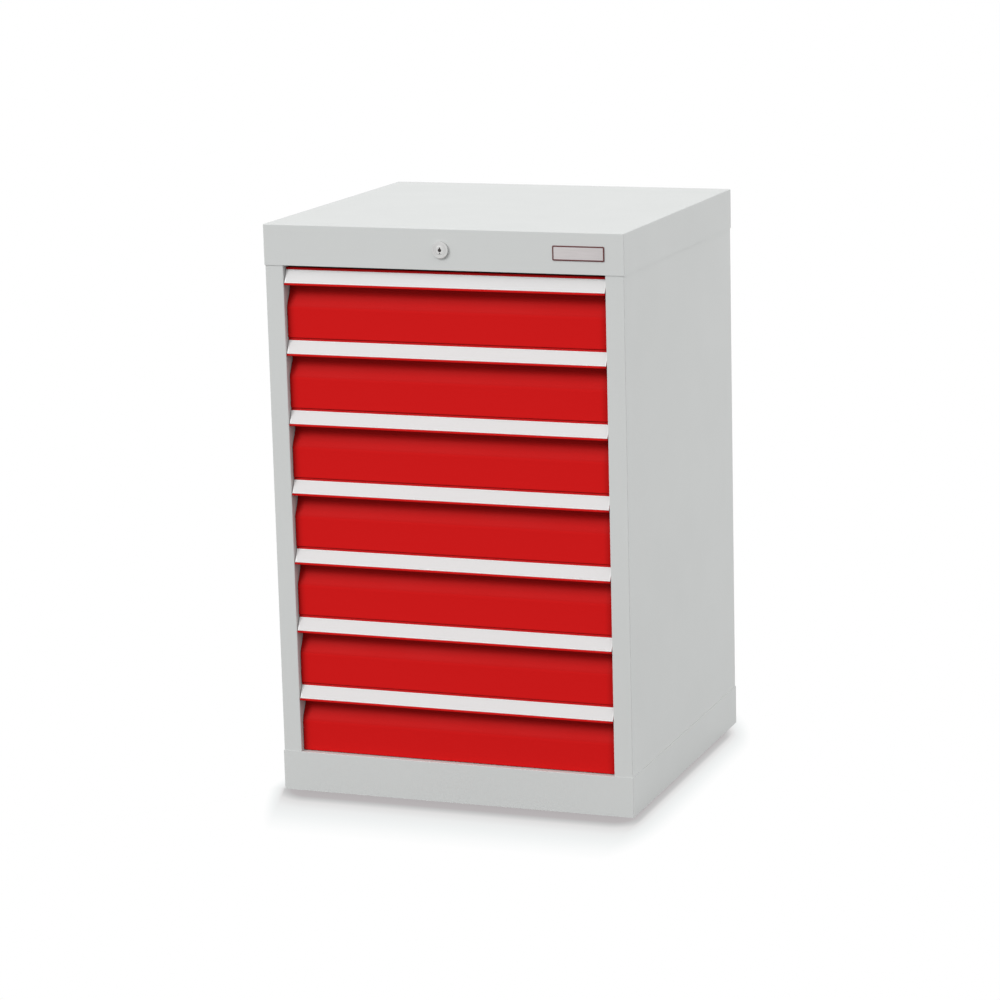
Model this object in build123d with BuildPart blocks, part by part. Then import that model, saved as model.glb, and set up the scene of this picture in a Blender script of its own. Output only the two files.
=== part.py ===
from build123d import *
import os
from math import cos, radians, sin, sqrt

os.makedirs("parts", exist_ok=True)

# Seven-drawer steel cabinet, in millimetres.
# X runs to the right, Y to the back and Z up. The origin is on the floor, at the
# middle of the housing's outline. The front faces -Y.

# Housing
cabinet_width = 530.0
cabinet_depth = 500.0
plinth_height = 57.5
cover_height = 57.5
outer_sheet = 1.0
body_sheet = 1.0
stile_width = 28.0
stile_depth = 24.0
stile_return = 12.0
rear_flange = 15.0
corner_radius = 1.2
panel_bend = 1.2
bend_radius = 2.0
plinth_foot = 20.0
opening_flange = 14.0
flange_bend = 0.6
flange_end_gap = 0.1
floor_drop = 6.5
floor_flange = 12.0

# Drawer stack
drawer_count = 7
drawer_pitch = 100.0
drawer_gap = 0.6
bottom_gap = 0.8
top_gap = 3.8
front_side_gap = 0.8

# Drawer front: setbacks are measured back from the housing's front face,
# drops are measured down from the front's top edge
front_sheet = 1.0
lip_setback = 0.5
panel_setback = 8.4
recess_setback = 20.0
tray_setback = 21.0
lip_drop = 24.0
ledge_height = 2.8
ledge_bend = 0.8
recess_top_drop = 32.7
recess_bottom_drop = 54.4
recess_bend = 14.0
lip_bend = 1.2
sill_bend = 1.2
front_flange = 12.0
end_flange_drop = 57.0
strip_lean = 24.5
strip_height = 19.7
strip_thickness = 1.0
strip_end_gap = 0.3
strip_seat_gap = 0.1
strip_bead = 0.25
strip_bead_height = 1.6

# Drawer tray
tray_sheet = 1.0
tray_floor_rise = 4.2
tray_top_drop = 10.2
tray_hem = 9.0
hem_sheet = 1.0
rear_space = 73.5
slide_space = 12.7
divider_slot_width = 2.4
divider_slot_height = 46.0
divider_slot_rise = 30.0
divider_slot_pitch = 50.0
divider_slot_end = 35.0

# Roller slides
rail_sheet = 1.5
rail_rise = 28.0
rail_setback = 50.0
tongue_thickness = 2.0
leg_height = 18.0
roller_diameter = 15.0
running_gap = 0.15
axle_diameter = 5.0
axle_play = 0.05
axle_head = 0.4
axle_head_diameter = 7.0
carriage_sheet = 1.6
carriage_height = 30.0
carriage_front_gap = 4.0
carriage_rear_gap = 31.0
axle_inset = 16.0
rivet_head = 0.6
opening_clearance = 0.8
slide_clearance = 0.6
stop_gap = 0.3
stop_height = 12.0
web_clearance = 0.6

# Rail uprights and screws
upright_width = 30.0
upright_foot = 10.0
upright_front_inset = 20.0
upright_rear_inset = 33.0
upright_slots_per_pitch = 4
slot_height = 12.0
slot_width = 6.0
screw_diameter = 4.8
screw_play = 0.2
screw_head_diameter = 8.0
screw_head_height = 1.3
nut_width = 8.0
nut_height = 3.0

# Lock in the header
lock_drop = 29.0
rosette_diameter = 23.6
rosette_height = 4.0
rosette_chamfer = 0.8
ring_diameter = 18.0
ring_width = 0.8
ring_depth = 0.5
barrel_diameter = 19.0
barrel_length = 20.0
barrel_play = 0.15
plug_diameter = 13.0
plug_play = 0.06
plug_tail = 2.0
plug_recess = 0.3
keyhole_height = 8.0
keyhole_width = 1.8
keyhole_eye = 4.6
keyhole_depth = 8.0
lock_nut_width = 24.0
lock_nut_height = 4.0

# Central locking
cam_radius = 10.0
cam_sheet = 2.0
cam_hub_diameter = 16.0
cam_pin_diameter = 6.0
cam_screw_diameter = 8.0
cam_screw_height = 2.0
rod_setback = 28.5
rod_height = 20.0
rod_thickness = 2.5
rod_end = 8.0
pin_play = 0.3
bar_setback = 34.5
bar_thickness = 3.0
bar_width = 14.0
bar_wall_gap = 5.5
bar_head_height = 18.0
bar_floor_gap = 0.3
bar_pin_inset = 7.0
pin_tail = 1.5
hook_height = 8.0
hook_gap = 3.0
hook_reach = 4.5
catch_rise = 30.0
catch_height = 12.0
catch_gap = 1.5
catch_sheet = 2.0
catch_foot = 14.0
guide_play = 0.3
guide_wall = 3.5
guide_height = 12.0
guide_rise = 8.0
rod_guide_places = [72.0, 192.0]

# Name plate place
plate_width = 74.4
plate_height = 20.5
plate_thickness = 0.8
plate_drop = 18.5
plate_border = 1.0
plate_border_height = 0.25
plate_corner = 1.0

# Worked-out places
front_plane = -cabinet_depth / 2
opening_bottom = plinth_height
stack_height = drawer_count * drawer_pitch - drawer_gap
opening_top = opening_bottom + bottom_gap + stack_height + top_gap
cabinet_height = opening_top + cover_height
opening_half = cabinet_width / 2 - stile_width
body_half_width = cabinet_width / 2 - outer_sheet
body_half_depth = cabinet_depth / 2 - outer_sheet
inner_half_width = body_half_width - body_sheet
inner_rear = body_half_depth - 2 * body_sheet
body_bottom = outer_sheet
body_top = cabinet_height - corner_radius
back_half_width = body_half_width - panel_bend
floor_top = plinth_height - floor_drop
floor_bottom = floor_top - body_sheet
flange_half = opening_half - flange_end_gap
front_height = drawer_pitch - drawer_gap
front_half = opening_half - front_side_gap
drawer_levels = [
    opening_bottom + bottom_gap + (drawer_count - number) * drawer_pitch
    for number in range(1, drawer_count + 1)
]
drawer_places = [(0, 0, level) for level in drawer_levels]

# Every drawer's own pieces are drawn with the lower edge of the front at zero
tray_front = front_plane + tray_setback
tray_rear = inner_rear - rear_space
tray_half = opening_half - slide_space
tray_floor = tray_floor_rise
tray_top = front_height - tray_top_drop
tray_middle = (tray_front + tray_rear) / 2

# Slide stack, outwards from the tray's side wall
leg_outer = tray_half + rail_sheet
axle_tip = leg_outer + slide_clearance
rivet_face = opening_half - opening_clearance
plate_outer = rivet_face - rivet_head
plate_inner = plate_outer - carriage_sheet
roller_inner = axle_tip + axle_head + running_gap
roller_outer = plate_inner - 2 * running_gap
channel_tip = leg_outer + 2 * slide_clearance
tongue_tip = plate_inner - slide_clearance
web_inner = opening_half + web_clearance
web_outer = web_inner + rail_sheet
rail_centre = tray_floor + rail_rise
roller_offset = tongue_thickness / 2 + running_gap + roller_diameter / 2
channel_half = roller_offset + roller_diameter / 2 + running_gap
rail_front = front_plane + rail_setback
rail_stop = tray_rear + stop_gap
rail_rear = rail_stop + rail_sheet
carriage_front = rail_front + carriage_front_gap
carriage_rear = rail_rear - carriage_rear_gap
carriage_middle = (carriage_front + carriage_rear) / 2
axle_places = [carriage_front + axle_inset, carriage_middle, carriage_rear - axle_inset]
upright_places = [rail_front + upright_front_inset, tray_rear - upright_rear_inset]

# Lock and locking
lock_height = cabinet_height - lock_drop
lock_travel = sqrt(2) * cam_radius
cam_reach = cam_radius / sqrt(2)
barrel_rear = front_plane + barrel_length
plug_rear = barrel_rear + plug_tail
rod_front = front_plane + rod_setback
rod_rear = rod_front + rod_thickness
rod_centre = lock_height - (cam_radius + cam_reach) / 2
pin_height = rod_centre - lock_travel / 2
pin_slot_width = cam_pin_diameter + 2 * pin_play
cam_slot_width = pin_slot_width + 2 * pin_play
bar_front = front_plane + bar_setback
bar_rear = bar_front + bar_thickness
bar_outer = inner_half_width - bar_wall_gap
bar_inner = bar_outer - bar_width
bar_pin = opening_half - bar_pin_inset


# Top cover: a folded lid whose front skirt is the header
with BuildPart() as top_cover:
    with BuildSketch(Plane.XY.offset(opening_top)):
        Rectangle(cabinet_width, cabinet_depth)
    extrude(amount=cover_height)
    upright_edges = top_cover.edges().filter_by(Axis.Z)
    top_edges = top_cover.edges().group_by(Axis.Z)[-1]
    fillet(upright_edges + top_edges, radius=corner_radius)
    offset(amount=-outer_sheet, openings=top_cover.faces().sort_by(Axis.Z)[0])
    with BuildSketch(Plane.XY.offset(opening_top)):
        with Locations((0, front_plane + outer_sheet)):
            Rectangle(2 * flange_half, opening_flange, align=(Align.CENTER, Align.MIN))
    extrude(amount=outer_sheet)
    with BuildSketch(Plane.YZ.offset(-flange_half)):
        with Locations((front_plane, opening_top)):
            Rectangle(flange_bend, flange_bend, align=Align.MIN)
            with Locations((flange_bend, flange_bend)):
                Circle(flange_bend, mode=Mode.SUBTRACT)
    extrude(amount=2 * flange_half, mode=Mode.SUBTRACT)
    with BuildSketch(Plane.XZ.offset(-front_plane)):
        with Locations((0, lock_height)):
            Circle(barrel_diameter / 2 + barrel_play)
    extrude(amount=-outer_sheet, mode=Mode.SUBTRACT)
top_cover.part.label = "top_cover"
export_step(top_cover.part, "parts/top_cover.step")

# Base plinth: a folded skirt with a foot flange round its lower edge
with BuildPart() as base_plinth:
    with BuildSketch():
        Rectangle(cabinet_width, cabinet_depth)
    extrude(amount=plinth_height)
    fillet(base_plinth.edges().filter_by(Axis.Z), radius=corner_radius)
    offset(amount=-outer_sheet, openings=base_plinth.faces().sort_by(Axis.Z)[-1])
    with BuildSketch():
        Rectangle(cabinet_width - 2 * plinth_foot, cabinet_depth - 2 * plinth_foot)
    extrude(amount=outer_sheet, mode=Mode.SUBTRACT)
    with BuildSketch(Plane.XY.offset(plinth_height)):
        with Locations((0, front_plane + outer_sheet)):
            Rectangle(2 * flange_half, opening_flange, align=(Align.CENTER, Align.MIN))
    extrude(amount=-outer_sheet)
    with BuildSketch(Plane.YZ.offset(-flange_half)):
        with Locations((front_plane, plinth_height)):
            Rectangle(flange_bend, flange_bend, align=(Align.MIN, Align.MAX))
            with Locations((flange_bend, -flange_bend)):
                Circle(flange_bend, mode=Mode.SUBTRACT)
    extrude(amount=2 * flange_half, mode=Mode.SUBTRACT)
base_plinth.part.label = "base_plinth"
export_step(base_plinth.part, "parts/base_plinth.step")

# Side panels: one sheet each, folded from the rear flange round to the front stile
with BuildPart() as right_side_panel:
    with BuildSketch(Plane.XY.offset(body_bottom)):
        with BuildLine():
            FilletPolyline(
                (body_half_width - rear_flange, body_half_depth),
                (body_half_width, body_half_depth),
                (body_half_width, -body_half_depth),
                (opening_half, -body_half_depth),
                (opening_half, -body_half_depth + stile_depth),
                (opening_half + stile_return, -body_half_depth + stile_depth),
                radius=panel_bend,
            )
            offset(amount=body_sheet, side=Side.RIGHT)
        make_face()
    extrude(amount=body_top - body_bottom)
right_side_panel.part.label = "right_side_panel"
export_step(right_side_panel.part, "parts/right_side_panel.step")

with BuildPart() as left_side_panel:
    mirror(right_side_panel.part, about=Plane.YZ)
left_side_panel.part.label = "left_side_panel"
export_step(left_side_panel.part, "parts/left_side_panel.step")

# Floor panel with its edges turned down
with BuildPart() as floor_panel:
    floor_front = -body_half_depth + stile_depth + panel_bend
    tongue_half = opening_half - front_side_gap
    with BuildSketch(Plane.XY.offset(floor_bottom)):
        with Locations((0, inner_rear)):
            Rectangle(
                2 * inner_half_width, inner_rear - floor_front, align=(Align.CENTER, Align.MAX)
            )
        with Locations((0, -body_half_depth)):
            Rectangle(
                2 * tongue_half, floor_front + body_half_depth, align=(Align.CENTER, Align.MIN)
            )
    extrude(amount=body_sheet)
    with BuildSketch(Plane.XY.offset(floor_bottom)):
        for right_edge in (inner_half_width, -inner_half_width + body_sheet):
            with Locations((right_edge, inner_rear)):
                Rectangle(body_sheet, inner_rear - floor_front, align=(Align.MAX, Align.MAX))
        with Locations((0, inner_rear)):
            Rectangle(2 * inner_half_width, body_sheet, align=(Align.CENTER, Align.MAX))
        with Locations((0, -body_half_depth)):
            Rectangle(2 * tongue_half, body_sheet, align=(Align.CENTER, Align.MIN))
    extrude(amount=-floor_flange)
floor_panel.part.label = "floor_panel"
export_step(floor_panel.part, "parts/floor_panel.step")

# Back panel behind the side panels' rear flanges
with BuildPart() as back_panel:
    with BuildSketch(Plane.XY.offset(floor_bottom - floor_flange)):
        with Locations((0, inner_rear)):
            Rectangle(2 * back_half_width, body_sheet, align=(Align.CENTER, Align.MIN))
    extrude(amount=body_top - floor_bottom + floor_flange)
back_panel.part.label = "back_panel"
export_step(back_panel.part, "parts/back_panel.step")

# Rail uprights: four hat-section posts, slotted for the cabinet rails
with BuildPart() as rail_uprights:
    for middle in upright_places:
        with BuildSketch(Plane.XY.offset(floor_top)):
            with BuildLine():
                FilletPolyline(
                    (inner_half_width, middle - upright_width / 2 - upright_foot),
                    (inner_half_width, middle - upright_width / 2),
                    (web_outer + rail_sheet, middle - upright_width / 2),
                    (web_outer + rail_sheet, middle + upright_width / 2),
                    (inner_half_width, middle + upright_width / 2),
                    (inner_half_width, middle + upright_width / 2 + upright_foot),
                    radius=bend_radius,
                )
                offset(amount=rail_sheet, side=Side.LEFT)
            make_face()
        extrude(amount=body_top - floor_top)
        slot_pitch = drawer_pitch / upright_slots_per_pitch
        slot_count = (drawer_count - 1) * upright_slots_per_pitch + 1
        slot_middle = (drawer_levels[0] + drawer_levels[-1]) / 2 + rail_centre
        with BuildSketch(Plane.YZ.offset(web_outer)):
            with Locations((middle, slot_middle)):
                with GridLocations(0, slot_pitch, 1, slot_count):
                    SlotOverall(slot_height, slot_width, rotation=90)
        extrude(amount=rail_sheet, mode=Mode.SUBTRACT)
    mirror(about=Plane.YZ)
rail_uprights.part.label = "rail_uprights"
export_step(rail_uprights.part, "parts/rail_uprights.step")

# Cabinet rails: channels open towards the drawer, closed by a stop at the rear
with BuildPart() as cabinet_rail:
    with BuildSketch(Plane.XZ.offset(-rail_front)):
        with Locations((web_outer, rail_centre)):
            Rectangle(
                web_outer - channel_tip,
                2 * (channel_half + rail_sheet),
                align=(Align.MAX, Align.CENTER),
            )
        with Locations((web_inner, rail_centre)):
            Rectangle(
                web_inner - channel_tip,
                2 * channel_half,
                align=(Align.MAX, Align.CENTER),
                mode=Mode.SUBTRACT,
            )
    extrude(amount=-(rail_rear - rail_front))
    with BuildSketch(Plane.XZ.offset(-rail_stop)):
        with Locations((web_outer, rail_centre)):
            Rectangle(web_outer - channel_tip, stop_height, align=(Align.MAX, Align.CENTER))
    extrude(amount=-rail_sheet)
    with BuildSketch(Plane.YZ.offset(web_inner)):
        with Locations(*[(middle, rail_centre) for middle in upright_places]):
            Circle(screw_diameter / 2 + screw_play)
    extrude(amount=rail_sheet, mode=Mode.SUBTRACT)

with BuildPart() as right_cabinet_rails:
    with Locations(*drawer_places):
        add(cabinet_rail.part)
right_cabinet_rails.part.label = "right_cabinet_rails"
export_step(right_cabinet_rails.part, "parts/right_cabinet_rails.step")

with BuildPart() as left_cabinet_rails:
    mirror(right_cabinet_rails.part, about=Plane.YZ)
left_cabinet_rails.part.label = "left_cabinet_rails"
export_step(left_cabinet_rails.part, "parts/left_cabinet_rails.step")

# Rail screws with their square nuts behind the uprights
with BuildPart() as rail_screw:
    with BuildSketch(Plane.YZ.offset(web_inner)):
        Circle(screw_head_diameter / 2)
    extrude(amount=-screw_head_height)
    with BuildSketch(Plane.YZ.offset(web_inner)):
        Circle(screw_diameter / 2)
    extrude(amount=2 * rail_sheet)
    with BuildSketch(Plane.YZ.offset(web_outer + rail_sheet)):
        Rectangle(nut_width, nut_width)
    extrude(amount=nut_height)

with BuildPart() as rail_screws:
    for level in drawer_levels:
        with Locations(*[(0, middle, level + rail_centre) for middle in upright_places]):
            add(rail_screw.part)
    mirror(about=Plane.YZ)
rail_screws.part.label = "rail_screws"
export_step(rail_screws.part, "parts/rail_screws.step")

# Drawer front: one folded sheet, drawn as a section from its lower flange up the
# face, back into the finger recess, out to the lip and up the leaning label ledge
lean_back = sin(radians(strip_lean))
lean_up = cos(radians(strip_lean))
lip_corner = (front_plane + lip_setback, front_height - lip_drop)
ledge_top = lip_corner[1] + ledge_height


def on_ledge(along, proud=0.0):
    """Point of the leaning ledge, a distance up from the lip and proud of the sheet."""
    return (
        lip_corner[0] + along * lean_back - proud * lean_up,
        lip_corner[1] + along * lean_up + proud * lean_back,
    )


def at_height(height, proud=0.0):
    """Point of the leaning ledge at a height above the front's lower edge."""
    along = (height - lip_corner[1] - proud * lean_back) / lean_up
    return on_ledge(along, proud)


strip_foot = ledge_height / lean_up + strip_seat_gap
strip_head = strip_foot + strip_height
panel_face = front_plane + panel_setback
recess_wall = front_plane + recess_setback

with BuildPart() as front_shape:
    with BuildSketch(Plane.YZ.offset(-front_half)):
        with BuildLine():
            FilletPolyline(
                (tray_front, front_flange),
                (tray_front, 0),
                (panel_face, 0),
                (panel_face, front_height - recess_bottom_drop),
                (recess_wall, front_height - recess_top_drop),
                (recess_wall, front_height - lip_drop),
                lip_corner,
                at_height(front_height),
                (tray_front, front_height),
                (tray_front, front_height - front_flange),
                radius=[
                    bend_radius, sill_bend, recess_bend, recess_bend, bend_radius, lip_bend,
                    bend_radius, bend_radius,
                ],
            )
            offset(amount=front_sheet, side=Side.RIGHT)
        make_face()
        with BuildLine():
            seat_line = FilletPolyline(
                (lip_corner[0] + 2 * lip_bend, lip_corner[1]),
                lip_corner,
                (lip_corner[0], ledge_top),
                at_height(ledge_top, -front_sheet / 2),
                radius=ledge_bend,
            )
            Polyline(
                seat_line @ 1,
                on_ledge(2 * lip_bend, -front_sheet / 2),
                (lip_corner[0] + 2 * lip_bend, lip_corner[1] + front_sheet / 2),
                seat_line @ 0,
            )
        make_face()
    extrude(amount=2 * front_half)
    with BuildSketch(Plane.YZ.offset(-front_half)):
        with BuildLine():
            Polyline(
                on_ledge(strip_head + strip_seat_gap),
                on_ledge(strip_head + strip_seat_gap, strip_thickness),
                at_height(front_height, strip_thickness),
                at_height(front_height, -front_sheet),
                on_ledge(strip_head + strip_seat_gap, -front_sheet / 2),
                close=True,
            )
        make_face()
    extrude(amount=2 * front_half)
    for start in (-front_half, front_half - front_sheet):
        with BuildSketch(Plane.YZ.offset(start)):
            with Locations((panel_face + front_sheet / 2, bend_radius / 2)):
                Rectangle(
                    tray_front - panel_face - 1.5 * front_sheet,
                    front_height - end_flange_drop - bend_radius / 2,
                    align=(Align.MIN, Align.MIN),
                )
        extrude(amount=front_sheet)

# Label strip with a raised bead along both long edges
with BuildPart() as strip_shape:
    with BuildSketch(Plane.YZ.offset(-front_half + strip_end_gap)):
        with BuildLine():
            Polyline(
                on_ledge(strip_foot),
                on_ledge(strip_head),
                on_ledge(strip_head, strip_thickness),
                on_ledge(strip_head - strip_bead_height, strip_thickness),
                on_ledge(strip_head - strip_bead_height - strip_bead, strip_thickness - strip_bead),
                on_ledge(strip_foot + strip_bead_height + strip_bead, strip_thickness - strip_bead),
                on_ledge(strip_foot + strip_bead_height, strip_thickness),
                on_ledge(strip_foot, strip_thickness),
                close=True,
            )
        make_face()
    extrude(amount=2 * (front_half - strip_end_gap))

# Tray: an open box of folded sheet with hemmed, slotted side walls
with BuildPart() as tray_shape:
    with BuildSketch(Plane.XY.offset(tray_floor)):
        with Locations((0, tray_front)):
            Rectangle(2 * tray_half, tray_rear - tray_front, align=(Align.CENTER, Align.MIN))
    extrude(amount=tray_top - tray_floor)
    fillet(tray_shape.edges().group_by(Axis.Z)[0].filter_by(Axis.Y), radius=bend_radius)
    offset(amount=-tray_sheet, openings=tray_shape.faces().sort_by(Axis.Z)[-1])
    for side in (-1, 1):
        with BuildSketch(Plane.XY.offset(tray_top)):
            with Locations((side * (tray_half - tray_sheet - hem_sheet / 2), tray_middle)):
                Rectangle(hem_sheet, tray_rear - tray_front - 2 * tray_sheet)
        extrude(amount=-tray_hem)
    slot_span = tray_rear - tray_front - 2 * divider_slot_end
    divider_slots = int(slot_span / divider_slot_pitch) + 1
    with BuildSketch(Plane.YZ.offset(-tray_half)):
        with Locations((tray_middle, tray_floor + divider_slot_rise)):
            with GridLocations(divider_slot_pitch, 0, divider_slots, 1):
                SlotOverall(divider_slot_height, divider_slot_width, rotation=90)
    extrude(amount=2 * tray_half, mode=Mode.SUBTRACT)

# Drawer rails: an angle on each side of the tray whose tongue runs between the
# rollers, and over the left one the angle catch that the locking bar holds
with BuildPart() as rail_shape:
    with BuildSketch(Plane.XZ.offset(-tray_front - stop_gap)) as rail_section:
        with Locations((tray_half, rail_centre - tongue_thickness / 2)):
            Rectangle(rail_sheet, leg_height, align=(Align.MIN, Align.MIN))
            Rectangle(tongue_tip - tray_half, tongue_thickness, align=(Align.MIN, Align.MIN))
    extrude(amount=-(tray_rear - tray_front - stop_gap))
    mirror(about=Plane.YZ)
    catch_bottom = rail_centre + catch_rise
    catch_front = bar_rear + catch_gap
    catch_tip = -rivet_face + 2 * slide_clearance
    with BuildSketch(Plane.XY.offset(catch_bottom)):
        with Locations((-tray_half, catch_front)):
            Rectangle(-tray_half - catch_tip, catch_sheet, align=(Align.MAX, Align.MIN))
            Rectangle(catch_sheet, catch_foot, align=(Align.MAX, Align.MIN))
    extrude(amount=catch_height)

# Slide carriages: a plate on each side with six riveted axles
with BuildPart() as carriage_shape:
    with BuildSketch(Plane.YZ.offset(plate_inner)):
        with Locations((carriage_middle, rail_centre)):
            RectangleRounded(carriage_rear - carriage_front, carriage_height, axle_diameter / 2)
    extrude(amount=carriage_sheet)
    axle_points = [
        (place, rail_centre + side * roller_offset) for place in axle_places for side in (-1, 1)
    ]
    with BuildSketch(Plane.YZ.offset(axle_tip)):
        with Locations(*axle_points):
            Circle(axle_diameter / 2)
    extrude(amount=plate_inner - axle_tip)
    with BuildSketch(Plane.YZ.offset(axle_tip)):
        with Locations(*axle_points):
            Circle(axle_head_diameter / 2)
    extrude(amount=axle_head)
    with BuildSketch(Plane.YZ.offset(plate_outer)):
        with Locations(*axle_points):
            Circle(axle_head_diameter / 2)
    extrude(amount=rivet_head)
    mirror(about=Plane.YZ)

# Rollers, one on each axle
with BuildPart() as roller_shape:
    with BuildSketch(Plane.YZ.offset(roller_inner)):
        with Locations(*axle_points):
            Circle(roller_diameter / 2)
            Circle(axle_diameter / 2 + axle_play, mode=Mode.SUBTRACT)
    extrude(amount=roller_outer - roller_inner)
    rims = roller_shape.edges().filter_by(GeomType.CIRCLE)
    rims = rims.filter_by(lambda rim: rim.radius > axle_diameter)
    chamfer(rims, length=axle_head)
    mirror(about=Plane.YZ)

# One copy of each shape for every drawer
drawer_shapes = {
    "drawer_front": front_shape.part,
    "label_strip": strip_shape.part,
    "drawer_tray": tray_shape.part,
    "drawer_rails": rail_shape.part,
    "slide_carriages": carriage_shape.part,
    "slide_rollers": roller_shape.part,
}
for number, place in enumerate(drawer_places, start=1):
    for shape_name, shape in drawer_shapes.items():
        with BuildPart() as piece:
            with Locations(place):
                add(shape)
        piece.part.label = f"{shape_name}_{number}"
        export_step(piece.part, f"parts/{shape_name}_{number}.step")

# Name plate with a raised border, its face left blank
with BuildPart() as name_plate:
    plate_right = opening_half
    plate_top = cabinet_height - plate_drop
    plate_place = (plate_right - plate_width / 2, plate_top - plate_height / 2)
    with BuildSketch(Plane.XZ.offset(-front_plane)):
        with Locations(plate_place):
            RectangleRounded(plate_width, plate_height, plate_corner)
    extrude(amount=plate_thickness)
    with BuildSketch(Plane.XZ.offset(-front_plane + plate_thickness)):
        with Locations(plate_place):
            RectangleRounded(plate_width, plate_height, plate_corner)
            Rectangle(
                plate_width - 2 * plate_border, plate_height - 2 * plate_border, mode=Mode.SUBTRACT
            )
    extrude(amount=plate_border_height)
name_plate.part.label = "name_plate"
export_step(name_plate.part, "parts/name_plate.step")

# Lock housing: rosette in front of the header, barrel through it
lock_axis = Plane(origin=(0, front_plane, lock_height), x_dir=(1, 0, 0), z_dir=(0, -1, 0))
with BuildPart() as lock_housing:
    with BuildSketch(lock_axis):
        Circle(rosette_diameter / 2)
    extrude(amount=rosette_height)
    face_edge = lock_housing.edges().filter_by(GeomType.CIRCLE).sort_by(Axis.Y)[0]
    chamfer(face_edge, length=rosette_chamfer)
    with BuildSketch(lock_axis):
        Circle(barrel_diameter / 2)
    extrude(amount=-barrel_length)
    with BuildSketch(lock_axis.offset(rosette_height)):
        Circle(ring_diameter / 2)
        Circle(ring_diameter / 2 - ring_width, mode=Mode.SUBTRACT)
    extrude(amount=-ring_depth, mode=Mode.SUBTRACT)
    with BuildSketch(lock_axis.offset(rosette_height)):
        Circle(plug_diameter / 2 + plug_play)
    extrude(amount=-rosette_height - barrel_length, mode=Mode.SUBTRACT)
lock_housing.part.label = "lock_housing"
export_step(lock_housing.part, "parts/lock_housing.step")

# Lock plug with its keyhole
with BuildPart() as lock_plug:
    with BuildSketch(lock_axis.offset(rosette_height - plug_recess)):
        Circle(plug_diameter / 2)
    extrude(amount=-(rosette_height - plug_recess + barrel_length + plug_tail))
    with BuildSketch(lock_axis.offset(rosette_height - plug_recess)):
        Rectangle(keyhole_width, keyhole_height)
        Circle(keyhole_eye / 2)
    extrude(amount=-keyhole_depth, mode=Mode.SUBTRACT)
lock_plug.part.label = "lock_plug"
export_step(lock_plug.part, "parts/lock_plug.step")

# Hexagonal nut that holds the housing behind the header
with BuildPart() as lock_nut:
    with BuildSketch(lock_axis.offset(-outer_sheet)):
        RegularPolygon(lock_nut_width / 2, 6, major_radius=False)
        Circle(barrel_diameter / 2, mode=Mode.SUBTRACT)
    extrude(amount=-lock_nut_height)
lock_nut.part.label = "lock_nut"
export_step(lock_nut.part, "parts/lock_nut.step")

# Lock cam on the plug's tail, with its drive pin and screw
with BuildPart() as lock_cam:
    cam_plane = lock_axis.offset(-barrel_length - plug_tail)
    with BuildSketch(cam_plane):
        with Locations((cam_reach / 2, -cam_reach / 2)):
            SlotCenterToCenter(cam_radius, cam_hub_diameter, rotation=-45)
    extrude(amount=-cam_sheet)
    with BuildSketch(cam_plane):
        with Locations((cam_reach, -cam_reach)):
            Circle(cam_pin_diameter / 2)
    extrude(amount=-(rod_rear + pin_tail - plug_rear))
    with BuildSketch(cam_plane.offset(-cam_sheet)):
        Circle(cam_screw_diameter / 2)
    extrude(amount=-cam_screw_height)
lock_cam.part.label = "lock_cam"
export_step(lock_cam.part, "parts/lock_cam.step")

# Transfer rod: moved sideways by the cam pin, it lifts the locking bar's pin
# along a slanted slot
with BuildPart() as transfer_rod:
    rod_plane = Plane.XZ.offset(-rod_front)
    rod_left = -bar_pin - rod_end
    rod_right = cam_reach + cam_slot_width / 2 + rod_end / 2
    with BuildSketch(rod_plane):
        with Locations((rod_left, rod_centre)):
            Rectangle(rod_right - rod_left, rod_height, align=(Align.MIN, Align.CENTER))
        with Locations((-bar_pin + lock_travel / 2, rod_centre)):
            SlotCenterToCenter(sqrt(2) * lock_travel, pin_slot_width + rod_end, rotation=45)
            SlotCenterToCenter(
                sqrt(2) * lock_travel, pin_slot_width, rotation=45, mode=Mode.SUBTRACT
            )
        with Locations((cam_reach, rod_centre)):
            SlotCenterToCenter(
                cam_radius - cam_reach, cam_slot_width, rotation=90, mode=Mode.SUBTRACT
            )
    extrude(amount=-rod_thickness)
transfer_rod.part.label = "transfer_rod"
export_step(transfer_rod.part, "parts/transfer_rod.step")

# Locking bar: a punched strip with a hook in front of each drawer's catch and a
# pin at its head
with BuildPart() as locking_bar:
    bar_plane = Plane.XZ.offset(-bar_front)
    bar_bottom = floor_top + bar_floor_gap
    bar_top = pin_height + bar_head_height / 2
    with BuildSketch(bar_plane):
        with Locations((-bar_outer, bar_bottom)):
            Rectangle(bar_width, bar_top - bar_bottom, align=(Align.MIN, Align.MIN))
        with Locations((-bar_outer, pin_height)):
            Rectangle(
                bar_outer - bar_pin + rod_end, bar_head_height, align=(Align.MIN, Align.CENTER)
            )
        with Locations(*[(-bar_outer, level + catch_bottom - hook_gap) for level in drawer_levels]):
            Rectangle(bar_outer - tray_half - hook_reach, hook_height, align=(Align.MIN, Align.MAX))
    extrude(amount=-bar_thickness)
    with BuildSketch(bar_plane):
        with Locations((-bar_pin, pin_height)):
            Circle(cam_pin_diameter / 2)
    extrude(amount=bar_front - rod_front + pin_tail)
locking_bar.part.label = "locking_bar"
export_step(locking_bar.part, "parts/locking_bar.step")

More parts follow.
